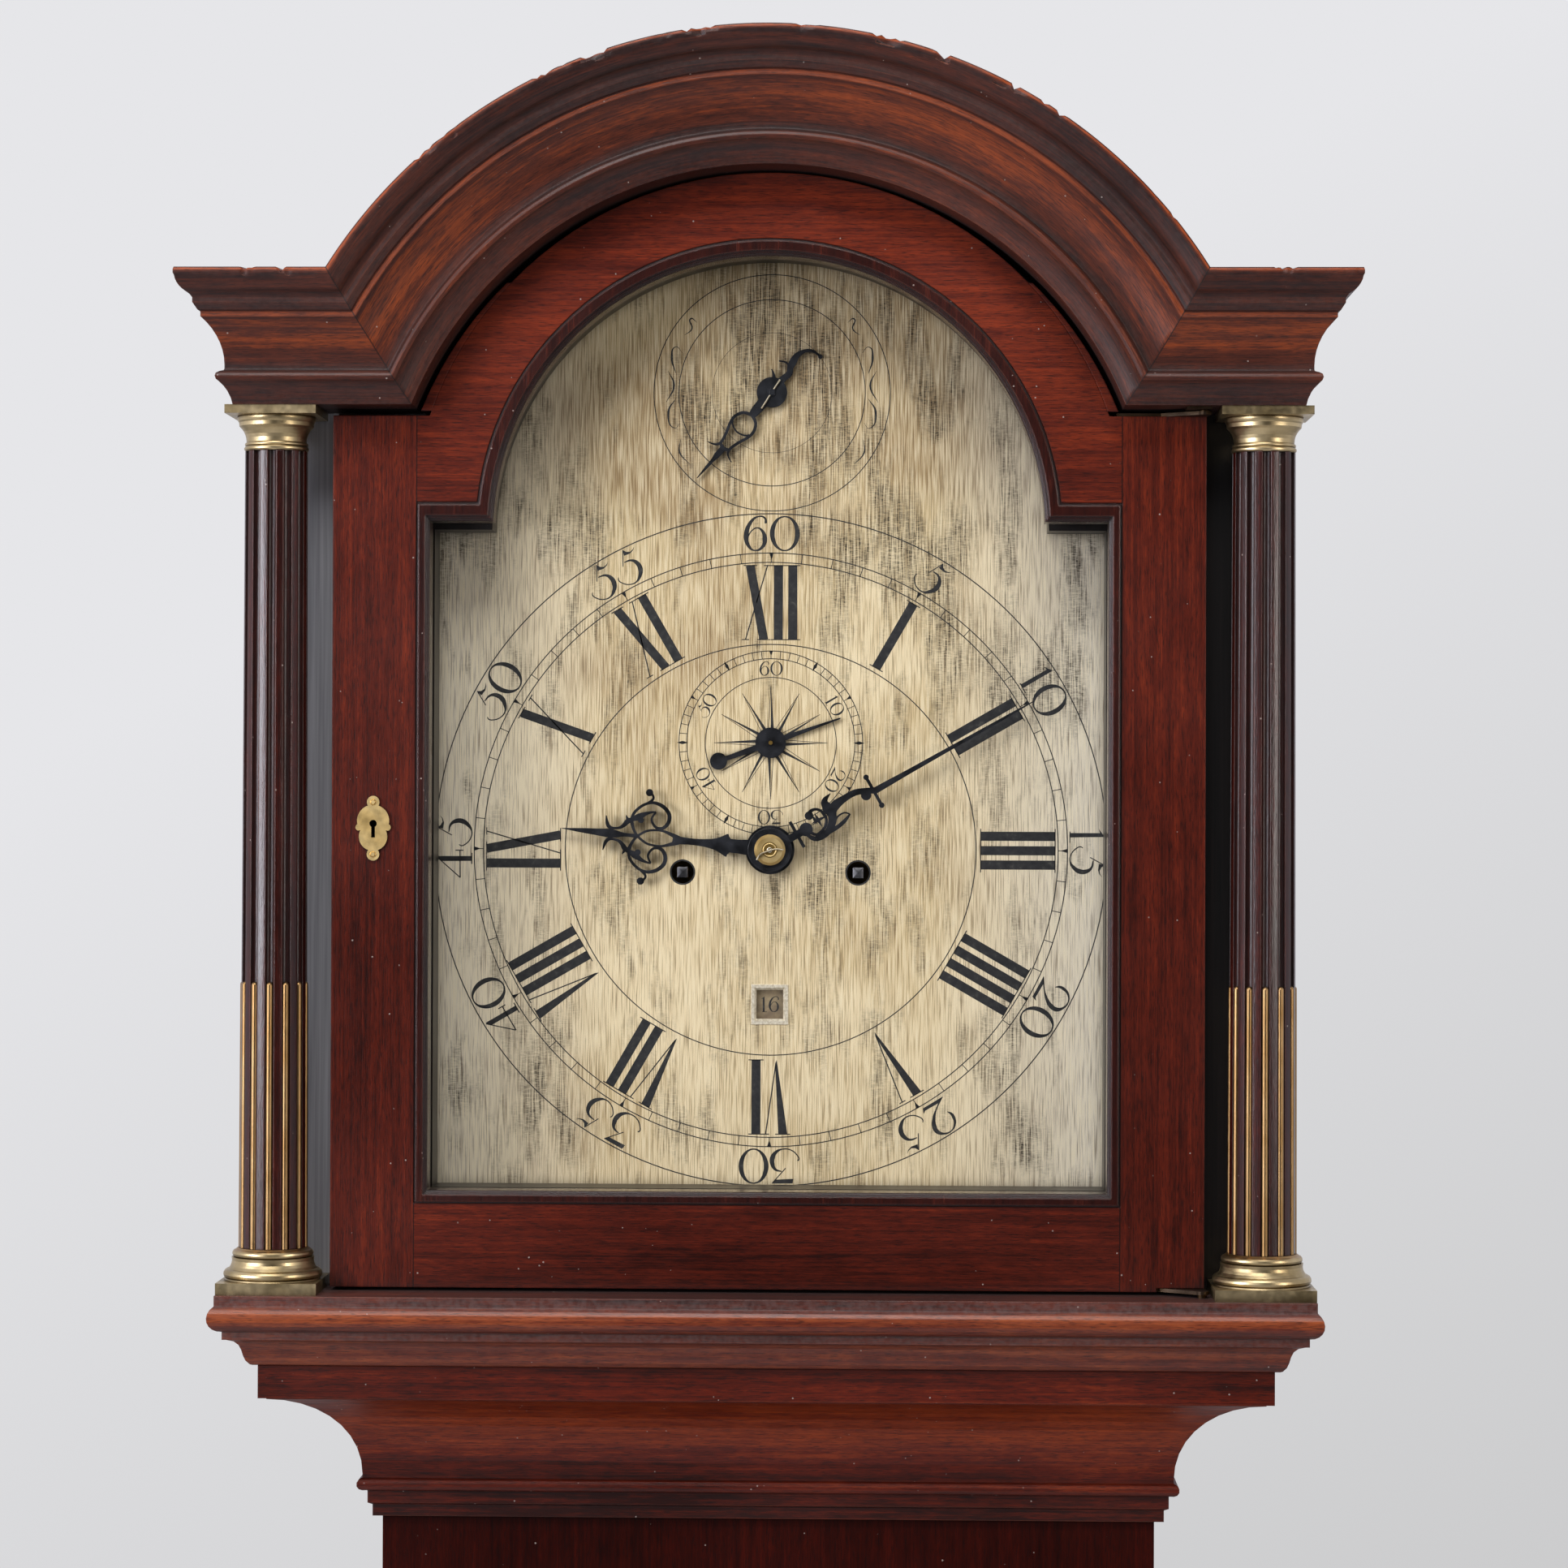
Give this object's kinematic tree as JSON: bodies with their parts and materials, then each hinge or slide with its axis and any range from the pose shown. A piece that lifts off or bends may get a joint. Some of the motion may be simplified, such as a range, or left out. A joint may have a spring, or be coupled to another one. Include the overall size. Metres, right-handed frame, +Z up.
{
  "type": "longcase clock",
  "caption": "Tall weight-driven pendulum clock: arched hood with columns and glazed door, long trunk with door, panelled base, silvered dial and pierced steel hands.",
  "frame": {"origin": "on the floor, at the middle of the bounding box's bottom face", "axes": "+Z up, -Y out of the dial towards the viewer, +X to the viewer's right"},
  "size_m": [0.5, 0.251, 2.1802],
  "materials": {
    "mahogany": "polished, aged",
    "dark_mahogany": "polished, dark",
    "carcase_pine": "bare, aged",
    "cast_brass": "aged polish",
    "bell_metal": "turned",
    "lock_brass": "dull",
    "silvered_brass": "silvered, tarnished",
    "window_glass": "clear",
    "blued_steel": "blued, near black",
    "iron": "forged",
    "lead": "dull cast",
    "gut": "natural gut"
  },
  "bodies": {
    "case": {"plinth": "mahogany", "base_boards": "mahogany", "base_moulding": "mahogany", "backboard": "carcase_pine", "trunk_sides": "mahogany", "trunk_front_frame": "mahogany", "throat_moulding": "mahogany", "seat_board": "carcase_pine", "trunk_hinge_leaves": "cast_brass", "front_plate": "cast_brass", "back_plate": "cast_brass", "plate_pillars": "cast_brass", "movement_cocks": "cast_brass", "dial_plate": "silvered_brass", "bell": "bell_metal", "line_leads": "gut"},
    "hood": {"hood_base_frame": "mahogany", "hood_sides": "mahogany", "hood_front_frame": "mahogany", "hood_cornice": "mahogany", "hood_roof": "carcase_pine", "hood_columns": "dark_mahogany", "column_brasses": "cast_brass", "hood_hinge_plates": "cast_brass"},
    "hood_door": {"hood_door_frame": "mahogany", "glazing_bead": "mahogany", "door_glass": "window_glass", "hood_escutcheon": "cast_brass", "hood_door_lock": "lock_brass", "hood_hinge_straps": "cast_brass"},
    "trunk_door": {"trunk_door_panel": "mahogany", "trunk_escutcheon": "cast_brass", "trunk_door_lock": "lock_brass", "trunk_door_leaves": "cast_brass"},
    "centre_arbor": {"centre_wheel": "cast_brass", "minute_hand": "blued_steel", "hand_collet": "cast_brass"},
    "hour_pipe": {"hour_wheel": "cast_brass", "hour_hand": "blued_steel"},
    "motion_wheel": {"minute_wheel": "cast_brass"},
    "third_arbor": {"third_wheel": "cast_brass"},
    "escape_arbor": {"escape_wheel": "cast_brass", "seconds_hand": "blued_steel"},
    "going_great": {"going_great_wheel": "cast_brass"},
    "going_barrel_arbor": {"going_barrel": "cast_brass"},
    "going_drive": {"going_weight": "lead", "going_line": "gut"},
    "going_sheave": {"going_pulley": "cast_brass"},
    "strike_great": {"strike_great_wheel": "cast_brass"},
    "strike_barrel_arbor": {"strike_barrel": "cast_brass"},
    "strike_drive": {"strike_weight": "lead", "strike_line": "gut"},
    "strike_sheave": {"strike_pulley": "cast_brass"},
    "pin_arbor": {"strike_pin_wheel": "cast_brass"},
    "hammer_arbor": {"hammer": "iron"},
    "pallet_arbor": {"pallets": "iron"},
    "pendulum": {"pendulum_rod": "iron", "pendulum_bob": "cast_brass"},
    "pointer": {"strike_silent_hand": "blued_steel"},
    "date_work": {"date_ring": "silvered_brass"}
  },
  "joints": [
    {"name": "hood_slide", "type": "slide", "parent": "case", "child": "hood", "axis": [0, -1, 0], "range_m": [0, 0.27]},
    {"name": "hood_door_hinge", "type": "hinge", "parent": "hood", "child": "hood_door", "pos_m": [0.186, -0.091, 1.8313], "axis": [0, 0, 1], "range_deg": [0, 95]},
    {"name": "trunk_door_hinge", "type": "hinge", "parent": "case", "child": "trunk_door", "pos_m": [0.1204, -0.049, 1.2], "axis": [0, 0, 1], "range_deg": [0, 110]},
    {"name": "minute_hand_turn", "type": "hinge", "parent": "case", "child": "centre_arbor", "pos_m": [0, -0.0395, 1.8313], "axis": [0, 1, 0], "continuous": true},
    {"name": "hour_hand_turn", "type": "hinge", "parent": "case", "child": "hour_pipe", "pos_m": [0, -0.0395, 1.8313], "axis": [0, 1, 0], "continuous": true},
    {"name": "motion_wheel_turn", "type": "hinge", "parent": "case", "child": "motion_wheel", "pos_m": [0, -0.0395, 1.8133], "axis": [0, 1, 0], "continuous": true},
    {"name": "third_wheel_turn", "type": "hinge", "parent": "case", "child": "third_arbor", "pos_m": [0.0071, -0.0395, 1.8558], "axis": [0, 1, 0], "continuous": true},
    {"name": "seconds_hand_turn", "type": "hinge", "parent": "case", "child": "escape_arbor", "pos_m": [0, -0.0395, 1.8783], "axis": [0, 1, 0], "continuous": true},
    {"name": "going_great_turn", "type": "hinge", "parent": "case", "child": "going_great", "pos_m": [0.0386, -0.0395, 1.8213], "axis": [0, 1, 0], "continuous": true},
    {"name": "going_weight_lift", "type": "slide", "parent": "case", "child": "going_drive", "axis": [0, 0, 1], "range_m": [0, 1.08], "deforming": ["going_line"]},
    {"name": "going_winding", "type": "hinge", "parent": "case", "child": "going_barrel_arbor", "pos_m": [0.0386, -0.0395, 1.8213], "axis": [0, 1, 0], "range_deg": [0, 6514.6]},
    {"name": "going_pulley_turn", "type": "hinge", "parent": "going_drive", "child": "going_sheave", "pos_m": [0.0801, 0.023, 0.58], "axis": [0, 1, 0], "range_deg": [0, 2751.2]},
    {"name": "strike_great_turn", "type": "hinge", "parent": "case", "child": "strike_great", "pos_m": [-0.0386, -0.0395, 1.8213], "axis": [0, 1, 0], "continuous": true},
    {"name": "strike_weight_lift", "type": "slide", "parent": "case", "child": "strike_drive", "axis": [0, 0, 1], "range_m": [0, 1.08], "deforming": ["strike_line"]},
    {"name": "strike_winding", "type": "hinge", "parent": "case", "child": "strike_barrel_arbor", "pos_m": [-0.0386, -0.0395, 1.8213], "axis": [0, 1, 0], "range_deg": [-6514.6, 0]},
    {"name": "strike_pulley_turn", "type": "hinge", "parent": "strike_drive", "child": "strike_sheave", "pos_m": [-0.0801, 0.023, 0.58], "axis": [0, 1, 0], "range_deg": [-2751.2, 0]},
    {"name": "pin_wheel_turn", "type": "hinge", "parent": "case", "child": "pin_arbor", "pos_m": [-0.045, -0.0395, 1.856], "axis": [0, 1, 0], "continuous": true},
    {"name": "hammer_lift", "type": "hinge", "parent": "case", "child": "hammer_arbor", "pos_m": [-0.057, -0.0395, 1.8933], "axis": [0, 1, 0], "range_deg": [-12, 4], "stiffness_Nm_per_rad": 0.05},
    {"name": "pendulum_swing", "type": "hinge", "parent": "case", "child": "pendulum", "pos_m": [0, 0.07, 1.9049], "axis": [0, 1, 0], "range_deg": [-3, 3]},
    {"name": "pallet_rock", "type": "hinge", "parent": "case", "child": "pallet_arbor", "pos_m": [0, 0.07, 1.9049], "axis": [0, 1, 0], "range_deg": [-3, 3]},
    {"name": "strike_silent_set", "type": "hinge", "parent": "case", "child": "pointer", "pos_m": [0, -0.0395, 2.0323], "axis": [0, 1, 0], "range_deg": [-41, 139]},
    {"name": "date_ring_turn", "type": "hinge", "parent": "case", "child": "date_work", "pos_m": [0, -0.0395, 1.8313], "axis": [0, 1, 0], "continuous": true}
  ],
  "couplings": [
    {"joint": "hour_hand_turn", "follows": "minute_hand_turn", "ratio": 0.083333},
    {"joint": "motion_wheel_turn", "follows": "minute_hand_turn", "ratio": -1},
    {"joint": "third_wheel_turn", "follows": "minute_hand_turn", "ratio": -7.5},
    {"joint": "seconds_hand_turn", "follows": "minute_hand_turn", "ratio": 60},
    {"joint": "going_great_turn", "follows": "minute_hand_turn", "ratio": -0.083333},
    {"joint": "going_winding", "follows": "going_weight_lift", "rad_per_m": 105.26},
    {"joint": "going_pulley_turn", "follows": "going_weight_lift", "rad_per_m": 44.444},
    {"joint": "strike_winding", "follows": "strike_weight_lift", "rad_per_m": -105.26},
    {"joint": "strike_pulley_turn", "follows": "strike_weight_lift", "rad_per_m": -44.444},
    {"joint": "pin_wheel_turn", "follows": "strike_great_turn", "ratio": -10.5},
    {"joint": "pallet_rock", "follows": "pendulum_swing", "ratio": 1}
  ]
}
